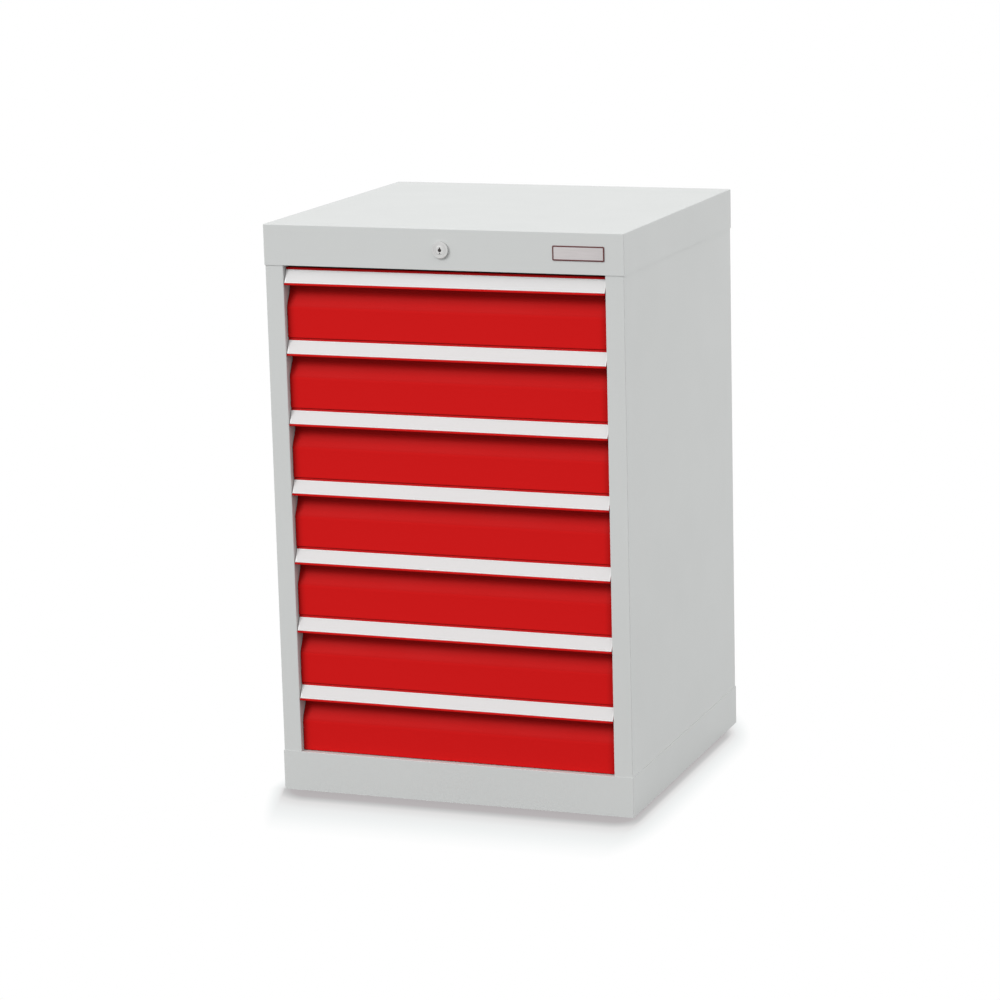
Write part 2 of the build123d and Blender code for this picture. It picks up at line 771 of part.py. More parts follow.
# Guides: slotted blocks on the left side panel for the bar, and brackets behind
# the header for the rod
with BuildPart() as lock_guides:
    guide_levels = [drawer_levels[0], drawer_levels[drawer_count // 2], drawer_levels[-1]]
    guide_inner = bar_inner - guide_play - guide_wall
    guide_front = bar_front - guide_play - guide_wall
    guide_rear = bar_rear + guide_play + guide_wall
    for level in guide_levels:
        with BuildSketch(Plane.XY.offset(level + guide_rise)):
            with Locations((-inner_half_width, (guide_front + guide_rear) / 2)):
                Rectangle(
                    inner_half_width - guide_inner,
                    guide_rear - guide_front,
                    align=(Align.MIN, Align.CENTER),
                )
            with Locations((-(bar_outer + bar_inner) / 2, (bar_front + bar_rear) / 2)):
                Rectangle(
                    bar_width + 2 * guide_play, bar_thickness + 2 * guide_play, mode=Mode.SUBTRACT
                )
        extrude(amount=guide_height)
    jaw_height = rod_height + 2 * (guide_play + guide_wall)
    jaw_depth = rod_thickness + 2 * (guide_play + guide_wall)
    header_back = front_plane + outer_sheet
    for place in rod_guide_places:
        with BuildSketch(Plane.YZ.offset(-place)):
            with Locations(((rod_front + rod_rear) / 2, rod_centre)):
                Rectangle(jaw_depth, jaw_height)
                Rectangle(
                    rod_thickness + 2 * guide_play, rod_height + 2 * guide_play, mode=Mode.SUBTRACT
                )
            with Locations((header_back, rod_centre + jaw_height / 2)):
                Rectangle(
                    rod_front - guide_play - header_back, guide_wall, align=(Align.MIN, Align.MAX)
                )
                Rectangle(guide_wall, jaw_height, align=(Align.MIN, Align.MAX))
        extrude(amount=guide_height)
lock_guides.part.label = "lock_guides"
export_step(lock_guides.part, "parts/lock_guides.step")
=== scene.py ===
"""Dresses the seven-drawer steel cabinet: finishes, fine pieces, floor, light and camera.

Lengths are in metres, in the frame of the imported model: X to the right, Y to the back,
Z up, with the cabinet's front facing -Y and its foot on Z = 0.
"""
from __future__ import annotations

import logging
import math
from dataclasses import dataclass, field
from enum import Enum
from typing import Sequence

import bmesh
import bpy
from bpy.types import Material, Mesh, Node, NodeSocket, Object
from mathutils import Matrix, Vector

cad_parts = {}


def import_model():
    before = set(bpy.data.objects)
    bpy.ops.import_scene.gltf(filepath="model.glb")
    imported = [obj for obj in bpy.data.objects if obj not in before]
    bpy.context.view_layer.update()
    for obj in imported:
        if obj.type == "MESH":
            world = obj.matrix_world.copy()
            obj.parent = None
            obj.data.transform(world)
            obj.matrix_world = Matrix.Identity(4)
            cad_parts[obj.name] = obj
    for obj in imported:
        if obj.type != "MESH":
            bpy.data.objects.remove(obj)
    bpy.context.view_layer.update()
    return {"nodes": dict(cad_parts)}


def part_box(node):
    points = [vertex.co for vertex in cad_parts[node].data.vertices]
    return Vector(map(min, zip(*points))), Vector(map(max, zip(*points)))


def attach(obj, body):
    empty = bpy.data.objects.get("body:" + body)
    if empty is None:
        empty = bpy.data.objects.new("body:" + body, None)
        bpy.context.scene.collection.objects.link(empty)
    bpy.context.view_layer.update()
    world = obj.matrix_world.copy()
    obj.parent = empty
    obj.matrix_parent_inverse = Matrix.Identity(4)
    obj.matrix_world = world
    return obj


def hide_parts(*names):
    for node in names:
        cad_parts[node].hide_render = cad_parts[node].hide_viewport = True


log = logging.getLogger("drawer_cabinet")

Colour = Point = tuple[float, float, float]
Span = tuple[float, float]
Loop = Sequence[Span]

DRAWER_COUNT = 7
SMOOTH_ANGLE = 32.0
CORNER_STEPS = 5
MERGE_DISTANCE = 1e-6
DECIMALS = 5
EDGE_STEPS = 2
LOCK_AXIS: Point = (0.0, -0.25, 0.79)
ORIGIN: Point = (0.0, 0.0, 0.0)
UP: Point = (0.0, 0.0, 1.0)
WHITE: Colour = (1.0, 1.0, 1.0)


class Grain(Enum):
    """Which way the fine lines of a worked metal face run."""

    ALONG_X = "along the cabinet's width"
    ALONG_Y = "along the cabinet's depth"
    ALONG_Z = "up the cabinet"
    ROUND = "round the lock's axis"


class Side(Enum):
    """A side of the cabinet, with its sign along X."""

    LEFT = -1
    RIGHT = 1


def from_screen(red: int, green: int, blue: int) -> Colour:
    """Turn a colour of 0 to 255 screen steps into the linear colour that a shader takes.

    Args:
        red: Red, in screen steps.
        green: Green, in screen steps.
        blue: Blue, in screen steps.

    Returns:
        The linear red, green and blue, from 0 to 1.
    """

    def linear(step: int) -> float:
        """Undo the screen's curve for one channel."""
        share = step / 255
        return share / 12.92 if share <= 0.04045 else ((share + 0.055) / 1.055) ** 2.4

    return linear(red), linear(green), linear(blue)


class NodeSheet:
    """A node tree, with short calls to add nodes and join them."""

    def __init__(self, tree: bpy.types.NodeTree) -> None:
        """Take a node tree and clear it."""
        self.tree = tree
        tree.nodes.clear()

    def give(self, node: Node, key: str | int, value: object) -> None:
        """Join a socket to one of a node's inputs, or set that input to a plain value.

        Args:
            node: The node.
            key: The input's name or number.
            value: The socket or the plain value.
        """
        if isinstance(value, NodeSocket):
            self.tree.links.new(value, node.inputs[key])
        else:
            node.inputs[key].default_value = value

    def node(
        self, kind: str, inputs: dict[str | int, object] | None = None, **settings: object
    ) -> Node:
        """Add a node, set some of its properties and give it some of its inputs.

        Args:
            kind: The node's type name.
            inputs: Sockets and plain values, by the input's name or number.
            **settings: Properties of the node, by name.

        Returns:
            The new node.
        """
        made = self.tree.nodes.new(kind)
        for key, value in settings.items():
            setattr(made, key, value)
        for key, value in (inputs or {}).items():
            self.give(made, key, value)
        return made

    def number(self, operation: str, *operands: object) -> NodeSocket:
        """Add one step of arithmetic on numbers and give its result."""
        step = self.node("ShaderNodeMath", dict(enumerate(operands)), operation=operation)
        return step.outputs[0]

    def vector(self, operation: str, *operands: object) -> NodeSocket:
        """Add one step of arithmetic on vectors and give its result."""
        step = self.node("ShaderNodeVectorMath", dict(enumerate(operands)), operation=operation)
        return step.outputs["Value" if operation == "LENGTH" else "Vector"]

    def scaled(self, vector: NodeSocket, factor: object) -> NodeSocket:
        """Scale a vector or a colour."""
        inputs = {0: vector, "Scale": factor}
        return self.node("ShaderNodeVectorMath", inputs, operation="SCALE").outputs["Vector"]

    def ranged(
        self, value: NodeSocket, low: float = 0.0, high: float = 1.0,
        start: float = 0.3, end: float = 0.7, curve: str = "LINEAR",
    ) -> NodeSocket:
        """Spread a pattern over a range of values.

        Args:
            value: The pattern.
            low: What the pattern's start becomes.
            high: What the pattern's end becomes.
            start: The pattern's value that gives low.
            end: The pattern's value that gives high.
            curve: How it goes from one to the other.

        Returns:
            The spread values.
        """
        inputs = {
            "Value": value, "From Min": start, "From Max": end, "To Min": low, "To Max": high,
        }
        return self.node("ShaderNodeMapRange", inputs, interpolation_type=curve).outputs["Result"]

    def ramp(self, value: NodeSocket, stops: Sequence[tuple[float, Colour]]) -> NodeSocket:
        """Give the colour that goes with a value from 0 to 1.

        Args:
            value: The value.
            stops: Each stop's value and linear colour, in order.

        Returns:
            The colour.
        """
        made = self.node("ShaderNodeValToRGB", {"Fac": value})
        elements = made.color_ramp.elements
        while len(elements) < len(stops):
            elements.new(1.0)
        for element, (position, colour) in zip(elements, stops):
            element.position = position
            element.color = (*colour, 1.0)
        return made.outputs["Color"]

    def show(self, output: str, light: NodeSocket, shown: NodeSocket) -> None:
        """Use one shader for the light that it gives, and another where it is seen.

        Args:
            output: The output node's type name.
            light: The shader that lights the cabinet.
            shown: The shader that the camera, a mirror or a glass sees.
        """
        rays = self.node("ShaderNodeLightPath").outputs
        seen = rays["Is Camera Ray"]
        for name in ("Is Glossy Ray", "Is Transmission Ray"):
            seen = self.number("MAXIMUM", seen, rays[name])
        mix = self.node("ShaderNodeMixShader", {0: seen, 1: light, 2: shown})
        self.node(output, {"Surface": mix.outputs[0]})


@dataclass(frozen=True)
class Noise:
    """A noise: its features for each metre, its octaves and its squeeze along each axis."""

    scale: float
    detail: float = 2.0
    squeeze: Point | None = None


class ShaderSheet(NodeSheet):
    """The nodes of one of the cabinet's materials."""

    def __init__(self, name: str) -> None:
        """Make an empty material with its output and its shader.

        Args:
            name: The material's name.
        """
        self.material = bpy.data.materials.new(name)
        self.material.use_nodes = True
        super().__init__(self.material.node_tree)
        self.shader = self.node("ShaderNodeBsdfPrincipled")
        self.node("ShaderNodeOutputMaterial", {"Surface": self.shader.outputs["BSDF"]})
        self.place = self.node("ShaderNodeTexCoord").outputs["Object"]

    def set(self, **values: object) -> None:
        """Give the shader its inputs, with underscores for the spaces in their names."""
        for key, value in values.items():
            self.give(self.shader, key.replace("_", " ").title().replace("Ior", "IOR"), value)

    def stretched(self, scale: Point, centre: Point) -> NodeSocket:
        """Give the object's coordinates moved to a centre and scaled along each axis.

        Args:
            scale: The scale along X, Y and Z.
            centre: The point that becomes the pattern's origin.

        Returns:
            The mapped coordinates.
        """
        start = [-c * s for c, s in zip(centre, scale)]
        inputs = {"Vector": self.place, "Location": start, "Scale": scale}
        return self.node("ShaderNodeMapping", inputs).outputs["Vector"]

    def noise(self, noise: Noise, centre: Point = ORIGIN) -> NodeSocket:
        """Add a noise.

        Args:
            noise: The noise's sizes.
            centre: The point that it is squeezed towards.

        Returns:
            The pattern, from 0 to 1.
        """
        where = self.stretched(noise.squeeze, centre) if noise.squeeze else self.place
        inputs = {"Scale": noise.scale, "Detail": noise.detail, "Vector": where}
        return self.node("ShaderNodeTexNoise", inputs).outputs["Fac"]

    def tint(self, share: NodeSocket, colour: Colour, shades: Span) -> NodeSocket:
        """Take a colour from one shade to another by a pattern.

        Args:
            share: Where 0 gives the first shade and 1 the second.
            colour: The linear colour.
            shades: The factors of the two shades.

        Returns:
            The mixed colour.
        """
        first, second = ((*(channel * shade for channel in colour), 1.0) for shade in shades)
        mix = self.node("ShaderNodeMix", {0: share, 6: first, 7: second}, data_type="RGBA")
        return mix.outputs[2]

    def relief(self, height: NodeSocket, depth: float, strength: float) -> NodeSocket:
        """Give the normals of a pattern whose full range stands for a depth."""
        inputs = {"Height": height, "Distance": depth, "Strength": strength}
        return self.node("ShaderNodeBump", inputs).outputs["Normal"]


@dataclass(frozen=True)
class Finish:
    """A finish, whose colour, sheen and skin each follow a pattern."""

    name: str
    colour: Colour
    roughness: float = 0.42
    sheen: Noise | None = None
    spread: Span = (0.0, 0.0)
    skin: Noise | None = None
    depth: float = 0.00003
    strength: float = 0.5
    metallic: float = 0.0
    gloss: float = 0.5
    coat: float = 0.0
    coat_roughness: float = 0.03

    def rough(self, sheet: ShaderSheet, pattern: NodeSocket, *ends: float) -> NodeSocket:
        """Spread a pattern, from one of its ends to the other, round the roughness."""
        low, high = (self.roughness + way for way in self.spread)
        return sheet.ranged(pattern, low, high, *ends)

    def tone(self, sheet: ShaderSheet) -> NodeSocket:
        """Give the finish's colour."""
        raise NotImplementedError

    def patterns(self, sheet: ShaderSheet) -> tuple[NodeSocket, NodeSocket | float, NodeSocket]:
        """Give the colour, the roughness and the skin's height."""
        rough = self.rough(sheet, sheet.noise(self.sheen)) if self.sheen else self.roughness
        return self.tone(sheet), rough, sheet.noise(self.skin)

    def material(self) -> Material:
        """Build the finish.

        Returns:
            The material.
        """
        sheet = ShaderSheet(self.name)
        colour, roughness, height = self.patterns(sheet)
        sheet.set(
            base_color=colour,
            roughness=roughness,
            normal=sheet.relief(height, self.depth, self.strength),
            metallic=self.metallic,
            specular_ior_level=self.gloss,
            coat_weight=self.coat,
            coat_roughness=self.coat_roughness,
        )
        return sheet.material


@dataclass(frozen=True)
class PowderCoat(Finish):
    """Baked powder paint on sheet steel, with its fine orange-peel skin."""

    patches: Noise = Noise(3.5, 3.0)
    patch_share: float = 0.018
    flecks: Noise = Noise(2600.0, 1.0)
    fleck_share: float = 0.02
    sheen: Noise = Noise(11.0, 4.0)
    spread: Span = (-0.03, 0.04)
    skin: Noise = Noise(620.0)
    depth: float = 0.00006
    gloss: float = 0.16

    def tone(self, sheet: ShaderSheet) -> NodeSocket:
        """Give the paint's colour, with its faint patches and flecks.

        Args:
            sheet: The material's nodes.

        Returns:
            The colour.
        """
        reach = self.patch_share + self.fleck_share
        patterns = (self.patches, self.patch_share), (self.flecks, self.fleck_share)
        shares = [sheet.ranged(sheet.noise(noise), 0.0, part / reach) for noise, part in patterns]
        shades = (1.0 + reach / 2, 1.0 - reach / 2)
        return sheet.tint(sheet.number("ADD", *shares), self.colour, shades)


@dataclass(frozen=True)
class ShadedFrontCoat(PowderCoat):
    """Powder paint on a drawer front, with painted shade under its lip and at its ends.

    Fixed colour factors darken the sunk band under the lip and the ends by the stiles,
    standing in for the shade that falls there.
    """

    # Painted shade under the lip: (depth along Y, colour factor), darker towards the back of the
    # sunk band.
    recess_shade_stops: tuple[Span, ...] = (
        (-0.2416, 1.0), (-0.2411, 0.87), (-0.2380, 0.86), (-0.2350, 0.76), (-0.2300, 0.62),
    )
    # Painted shade at each end, where the stiles shade the front: reach, width and colour factor.
    end_reach: float = 0.2362
    end_width: float = 0.013
    end_shade: float = 0.72

    def tone(self, sheet: ShaderSheet) -> NodeSocket:
        """Give the paint's colour, with painted shade under the lip and at the ends.

        Args:
            sheet: The material's nodes.

        Returns:
            The colour.
        """
        colour = super().tone(sheet)
        place = sheet.node("ShaderNodeSeparateXYZ", {"Vector": sheet.place}).outputs
        # Painted shade towards both ends of the front.
        ends = sheet.ranged(
            sheet.number("ABSOLUTE", place["X"]), 1.0, self.end_shade,
            self.end_reach - self.end_width, self.end_reach, "SMOOTHSTEP",
        )
        # Painted shade under the lip, darker with depth behind the face.
        face, wall = self.recess_shade_stops[0][0], self.recess_shade_stops[-1][0]
        stops = [((depth - face) / (wall - face), (share,) * 3) for depth, share in self.recess_shade_stops]
        recess_shade = sheet.ramp(sheet.ranged(place["Y"], 0.0, 1.0, face, wall), stops)
        return sheet.scaled(colour, sheet.number("MULTIPLY", recess_shade, ends))


@dataclass(frozen=True)
class ZincCoat(Finish):
    """Hot-dip zinc on steel sheet: crystal patches with their own sheen."""

    crystal_scale: float = 110.0
    shades: Span = (0.86, 1.08)
    spread: Span = (-0.08, 0.1)
    skin: Noise = Noise(900.0, 3.0)
    strength: float = 0.4
    metallic: float = 1.0

    def patterns(self, sheet: ShaderSheet) -> tuple[NodeSocket, NodeSocket, NodeSocket]:
        """Lay out the crystals and the skin.

        Args:
            sheet: The material's nodes.

        Returns:
            The colour, the roughness and the skin's height.
        """
        inputs = {"Scale": self.crystal_scale, "Randomness": 1.0, "Vector": sheet.place}
        crystals = sheet.node("ShaderNodeTexVoronoi", inputs).outputs["Color"]
        split = sheet.node("ShaderNodeSeparateColor", {"Color": crystals}).outputs
        colour = sheet.tint(split["Red"], self.colour, self.shades)
        return colour, self.rough(sheet, split["Green"], 0.0, 1.0), sheet.noise(self.skin)


@dataclass(frozen=True)
class WorkedMetal(Finish):
    """Bare metal with the fine lines that rolling, brushing or turning leaves."""

    grain: Grain = Grain.ALONG_X
    centre: Point = ORIGIN
    line_scale: float = 1500.0
    line_squeeze: float = 0.02
    ring_waver: float = 3.0
    ring_waver_detail: float = 3.0
    ring_waver_scale: float = 0.6
    shades: Span = (0.93, 1.04)
    roughness: float = 0.28
    sheen: Noise = Noise(60.0, 4.0)
    spread: Span = (-0.05, 0.08)
    depth: float = 0.00002
    strength: float = 0.6
    metallic: float = 1.0

    def lines(self, sheet: ShaderSheet) -> NodeSocket:
        """Give the pattern of fine lines.

        Args:
            sheet: The material's nodes.

        Returns:
            The pattern, from 0 to 1.
        """
        if self.grain is Grain.ROUND:
            inputs = {
                "Scale": self.line_scale, "Distortion": self.ring_waver,
                "Detail": self.ring_waver_detail, "Detail Scale": self.ring_waver_scale,
                "Vector": sheet.stretched((1.0, 1.0, 1.0), self.centre),
            }
            rings = {"wave_type": "RINGS", "rings_direction": "Y"}
            return sheet.node("ShaderNodeTexWave", inputs, **rings).outputs["Fac"]
        ways = (Grain.ALONG_X, Grain.ALONG_Y, Grain.ALONG_Z)
        squeeze = tuple(self.line_squeeze if way is self.grain else 1.0 for way in ways)
        return sheet.noise(Noise(self.line_scale, squeeze=squeeze), self.centre)

    def patterns(self, sheet: ShaderSheet) -> tuple[NodeSocket, NodeSocket, NodeSocket]:
        """Lay out the lines, for the colour and the skin, and the smears.

        Args:
            sheet: The material's nodes.

        Returns:
            The colour, the roughness and the skin's height.
        """
        lines = self.lines(sheet)
        colour = sheet.tint(sheet.ranged(lines), self.colour, self.shades)
        return colour, self.rough(sheet, sheet.noise(self.sheen)), lines


@dataclass(frozen=True)
class MouldedPlastic(Finish):
    """Injection-moulded or extruded plastic with a fine eroded skin."""

    tones: Noise = Noise(30.0, 3.0)
    shades: Span = (0.985, 1.015)
    roughness: float = 0.45
    sheen: Noise | None = Noise(140.0)
    spread: Span = (-0.04, 0.05)
    skin: Noise = Noise(1800.0)
    coat_roughness: float = 0.1

    def tone(self, sheet: ShaderSheet) -> NodeSocket:
        """Give the plastic's colour, in two close shades."""
        return sheet.tint(sheet.ranged(sheet.noise(self.tones)), self.colour, self.shades)


@dataclass(frozen=True)
class LabelCard(MouldedPlastic):
    """Paper card behind a clear cover: faint fibres under a smooth glossy face."""

    tones: Noise = Noise(900.0, 4.0, (0.25, 1.0, 1.0))
    shades: Span = (0.985, 1.012)
    roughness: float = 0.6
    sheen: Noise | None = None
    skin: Noise = Noise(40.0)
    depth: float = 0.00004
    strength: float = 0.3
    gloss: float = 0.2
    coat: float = 0.15
    coat_roughness: float = 0.4


class Palette:
    """Every finish of the cabinet, each built once."""

    finishes: dict[str, Finish] = {
        "housing_paint": PowderCoat("light_grey_powder_coat", from_screen(198, 200, 199)),
        # Drawer fronts: red paint with painted shade under the lips and at the ends.
        "drawer_paint": ShadedFrontCoat(
            "red_powder_coat", from_screen(199, 23, 23), roughness=0.5, patch_share=0.012,
            gloss=0.035,
        ),
        "tray_paint": PowderCoat("tray_powder_coat", from_screen(198, 200, 200), roughness=0.46),
        "label_white": MouldedPlastic(
            "label_holder_plastic", from_screen(212, 211, 211), roughness=0.5, coat=0.08
        ),
        "label_card": LabelCard("label_card_under_cover", from_screen(205, 204, 204)),
        "galvanised_steel": ZincCoat("galvanised_sheet", from_screen(196, 198, 201)),
        "roller_steel": WorkedMetal(
            "ground_bearing_steel", from_screen(188, 190, 193), grain=Grain.ALONG_X, roughness=0.22
        ),
        "zinc_steel": WorkedMetal(
            "bright_zinc_steel", from_screen(205, 206, 205), grain=Grain.ALONG_Z, roughness=0.32
        ),
        "lock_metal": WorkedMetal(
            "turned_nickel", from_screen(206, 206, 205), grain=Grain.ROUND, roughness=0.3,
            line_scale=420.0, centre=LOCK_AXIS,
        ),
        # Painted shade: black for the plate that stands in for the keyway's shade.
        "keyhole_shade_black": MouldedPlastic(
            "blackened_shutter", from_screen(24, 14, 14), roughness=0.6
        ),
        "guide_plastic": MouldedPlastic("black_guide_plastic", from_screen(52, 52, 54)),
        "plate_metal": WorkedMetal(
            "brushed_plate_aluminium", from_screen(193, 188, 188), grain=Grain.ALONG_X,
            roughness=0.45, metallic=0.3,
        ),
        "plate_edge": PowderCoat("plate_edge_enamel", from_screen(98, 58, 58), roughness=0.5),
    }

    def __init__(self) -> None:
        """Start with no material built."""
        self.built: dict[str, Material] = {}

    def __getitem__(self, name: str) -> Material:
        """Give a finish's material, building it on first use.

        Args:
            name: The finish's name.

        Returns:
            The material.
        """
        if name not in self.built:
            self.built[name] = self.finishes[name].material()
        return self.built[name]


def dress(node: Object, material: Material) -> None:
    """Give a whole object one material."""
    node.data.materials.clear()
    node.data.materials.append(material)


def object_from(name: str, data: bpy.types.ID) -> Object:
    """Put a mesh, curve, lamp or camera into the scene as an object at the origin.

    Args:
        name: The object's name.
        data: The mesh, curve, lamp or camera.

    Returns:
        The object.
    """
    item = bpy.data.objects.new(name, data)
    bpy.context.scene.collection.objects.link(item)
    return item


def shade_by_angle(mesh: Mesh) -> None:
    """Shade a mesh smooth, with its edges over SMOOTH_ANGLE kept sharp.

    Args:
        mesh: The mesh to shade.
    """
    shape = bmesh.new()
    shape.from_mesh(mesh)
    limit = math.radians(SMOOTH_ANGLE)
    for edge in shape.edges:
        edge.smooth = len(edge.link_faces) == 2 and edge.calc_face_angle(0.0) < limit
    for face in shape.faces:
        face.smooth = True
    shape.to_mesh(mesh)
    shape.free()


def plain_mesh(carrier: Object, name: str) -> Mesh:
    """Turn an object's finished shape into a plain mesh, and remove the object.

    Args:
        carrier: The object, with its modifier or its curve's depth.
        name: The mesh's name.

    Returns:
        The mesh.
    """
    graph = bpy.context.evaluated_depsgraph_get()
    mesh = bpy.data.meshes.new_from_object(carrier.evaluated_get(graph), depsgraph=graph)
    mesh.name = name
    carrier.modifiers.clear()
    bpy.data.objects.remove(carrier)
    return mesh


def arc_points(
    centre: Sequence[float], radius: float, start: float, end: float, steps: int
) -> list[Span]:
    """Give the steps + 1 points of a flat arc, from one angle in degrees to another."""
    angles = [math.radians(start + (end - start) * i / steps) for i in range(steps + 1)]
    return [(centre[0] + radius * math.cos(a), centre[1] + radius * math.sin(a)) for a in angles]


def rounded_loop(left: float, low: float, right: float, high: float, radius: float) -> list[Span]:
    """Draw a rectangle with round corners, anticlockwise.

    Args:
        left: Its left edge.
        low: Its lower edge.
        right: Its right edge.
        high: Its upper edge.
        radius: The corners' radius.

    Returns:
        Its points.
    """
    corners = (
        (right - radius, high - radius, 0), (left + radius, high - radius, 90),
        (left + radius, low + radius, 180), (right - radius, low + radius, 270),
    )
    return [
        point
        for across, up, start in corners
        for point in arc_points((across, up), radius, start, start + 90, CORNER_STEPS)
    ]


def closed_curve(name: str, loops: Sequence[Loop], dimensions: str) -> bpy.types.Curve:
    """Draw closed loops of straight steps in a curve.

    Args:
        name: The curve's name.
        loops: The loops' points.
        dimensions: 2D for a flat shape with holes, 3D for a line in space.

    Returns:
        The curve.
    """
    curve = bpy.data.curves.new(name, "CURVE")
    curve.dimensions = dimensions
    for loop in loops:
        spline = curve.splines.new("POLY")
        spline.points.add(len(loop) - 1)
        for point, (across, up) in zip(spline.points, loop):
            point.co = (across, up, 0.0, 1.0)
        spline.use_cyclic_u = True
    return curve


def turned_mesh(name: str, outline: Loop, segments: int, axis: Grain = Grain.ALONG_Y) -> Mesh:
    """Turn an outline round an axis through the origin, as on a lathe.

    Args:
        name: The mesh's name.
        outline: Points of (distance along the axis, radius); a closed loop round the metal.
        segments: How many steps the turn has.
        axis: The axis, ALONG_X or ALONG_Y.

    Returns:
        The closed mesh.
    """
    shape = bmesh.new()
    rings = []
    for step in range(segments):
        angle = 2 * math.pi * step / segments
        ring = []
        for along, radius in outline:
            flat = (radius * math.cos(angle), radius * math.sin(angle))
            spot = (along, *flat) if axis is Grain.ALONG_X else (flat[0], along, flat[1])
            ring.append(shape.verts.new(spot))
        rings.append(ring)
    count = len(outline)
    for step, ring in enumerate(rings):
        following = rings[(step + 1) % segments]
        for i in range(count):
            j = (i + 1) % count
            shape.faces.new((ring[i], ring[j], following[j], following[i]))
    bmesh.ops.recalc_face_normals(shape, faces=shape.faces)
    mesh = bpy.data.meshes.new(name)
    shape.to_mesh(mesh)
    shape.free()
    shade_by_angle(mesh)
    return mesh


def joined_mesh(parts: Sequence[Mesh]) -> Mesh:
    """Join meshes that share one material.

    Args:
        parts: The meshes.

    Returns:
        The joined mesh.
    """
    shape = bmesh.new()
    for part in parts:
        shape.from_mesh(part)
    mesh = bpy.data.meshes.new(parts[0].name)
    shape.to_mesh(mesh)
    shape.free()
    mesh.materials.append(parts[0].materials[0])
    return mesh


def upright_plate(
    name: str, loops: Sequence[Loop], front: float, back: float, edge: float,
    finish: Material,
) -> Mesh:
    """Cut an upright plate that faces -Y from an outline and its holes, with round edges.

    Args:
        name: The mesh's name.
        loops: The outline, then the holes, as lists of (X, Z).
        front: The front face's Y.
        back: The back face's Y.
        edge: The radius of its round edges.
        finish: The material.

    Returns:
        The closed mesh, in place.
    """
    curve = closed_curve(name + "_outline", loops, "2D")
    curve.fill_mode = "BOTH"
    curve.extrude = (back - front) / 2 - edge
    curve.bevel_depth = edge
    curve.bevel_resolution = EDGE_STEPS
    curve.offset = -edge
    mesh = plain_mesh(object_from(name + "_carrier", curve), name)
    upright = Matrix(((1, 0, 0, 0), (0, 0, -1, (front + back) / 2), (0, 1, 0, 0), (0, 0, 0, 1)))
    shape = bmesh.new()
    shape.from_mesh(mesh)
    shape.transform(upright)
    bmesh.ops.remove_doubles(shape, verts=shape.verts, dist=MERGE_DISTANCE)
    bmesh.ops.recalc_face_normals(shape, faces=shape.faces)
    shape.to_mesh(mesh)
    shape.free()
    mesh.materials.clear()
    mesh.materials.append(finish)
    shade_by_angle(mesh)
    return mesh


class ShapeTree(NodeSheet):
    """A Geometry Nodes tree that makes a plain mesh from named inputs."""

    title: str
    given: dict[str, str]

    def __init__(self) -> None:
        """Build the tree, with its named inputs and its finish."""
        super().__init__(bpy.data.node_groups.new(self.title, "GeometryNodeTree"))
        face = self.tree.interface
        for way in ("INPUT", "OUTPUT"):
            face.new_socket("Geometry", in_out=way, socket_type="NodeSocketGeometry")
        self.sockets = {
            label: face.new_socket(label, in_out="INPUT", socket_type=kind).identifier
            for label, kind in self.given.items()
        }
        inputs = self.node("NodeGroupInput").outputs
        solid = self.node("GeometryNodeRealizeInstances", {"Geometry": self.shape(inputs)})
        finish = self.node(
            "GeometryNodeSetMaterial",
            {"Geometry": solid.outputs["Geometry"], "Material": inputs["Finish"]},
        )
        self.node("NodeGroupOutput", {"Geometry": finish.outputs["Geometry"]})

    def shape(self, inputs: bpy.types.NodeOutputs) -> NodeSocket:
        """Lay out the nodes that make the shape from the inputs."""
        raise NotImplementedError

    def run(self, name: str, data: bpy.types.ID, **values: object) -> Mesh:
        """Run the tree with some sizes and give the plain mesh.

        Args:
            name: The mesh's name.
            data: The mesh or curve that the tree starts from.
            **values: The named inputs, with underscores for the spaces.

        Returns:
            The plain mesh.
        """
        carrier = object_from(name + "_carrier", data)
        maker = carrier.modifiers.new("shape", "NODES")
        maker.node_group = self.tree
        for key, value in values.items():
            maker[self.sockets[key.replace("_", " ").title()]] = value
        return plain_mesh(carrier, name)


class RowsTree(ShapeTree):
    """Geometry Nodes tree that sets copies of a shape out in rows and columns."""

    title = "rows_of_copies"
    given = {
        "Shape": "NodeSocketObject",
        "Start": "NodeSocketVector",
        "Column Step": "NodeSocketVector",
        "Columns": "NodeSocketInt",
        "Row Step": "NodeSocketVector",
        "Rows": "NodeSocketInt",
        "Spin Axis": "NodeSocketVector",
        "Seed": "NodeSocketInt",
        "Finish": "NodeSocketMaterial",
    }

    def shape(self, inputs: bpy.types.NodeOutputs) -> NodeSocket:
        """Lay a line of rows, a line of columns on each, and the spun shape on each point.

        Args:
            inputs: The tree's named inputs.

        Returns:
            The copies.
        """
        rows, columns = (
            self.node(
                "GeometryNodeMeshLine", {"Count": inputs[count], "Offset": inputs[step]},
                mode="OFFSET",
            )
            for count, step in (("Rows", "Row Step"), ("Columns", "Column Step"))
        )
        self.give(rows, "Start Location", inputs["Start"])
        grid = self.node(
            "GeometryNodeInstanceOnPoints",
            {"Points": rows.outputs["Mesh"], "Instance": columns.outputs["Mesh"]},
        )
        points = self.node("GeometryNodeRealizeInstances", {"Geometry": grid.outputs["Instances"]})
        copied = self.node(
            "GeometryNodeObjectInfo", {"Object": inputs["Shape"]}, transform_space="ORIGINAL"
        )
        turn = self.node(
            "FunctionNodeRandomValue", {"Max": 2 * math.pi, "Seed": inputs["Seed"]},
            data_type="FLOAT",
        )
        copies = self.node(
            "GeometryNodeInstanceOnPoints",
            {
                "Points": points.outputs["Geometry"], "Instance": copied.outputs["Geometry"],
                "Rotation": self.scaled(inputs["Spin Axis"], turn.outputs[1]),
            },
        )
        return copies.outputs["Instances"]

    def mesh(self, name: str, **values: object) -> Mesh:
        """Set the copies out by the named inputs."""
        return self.run(name, bpy.data.meshes.new(name + "_empty"), **values)


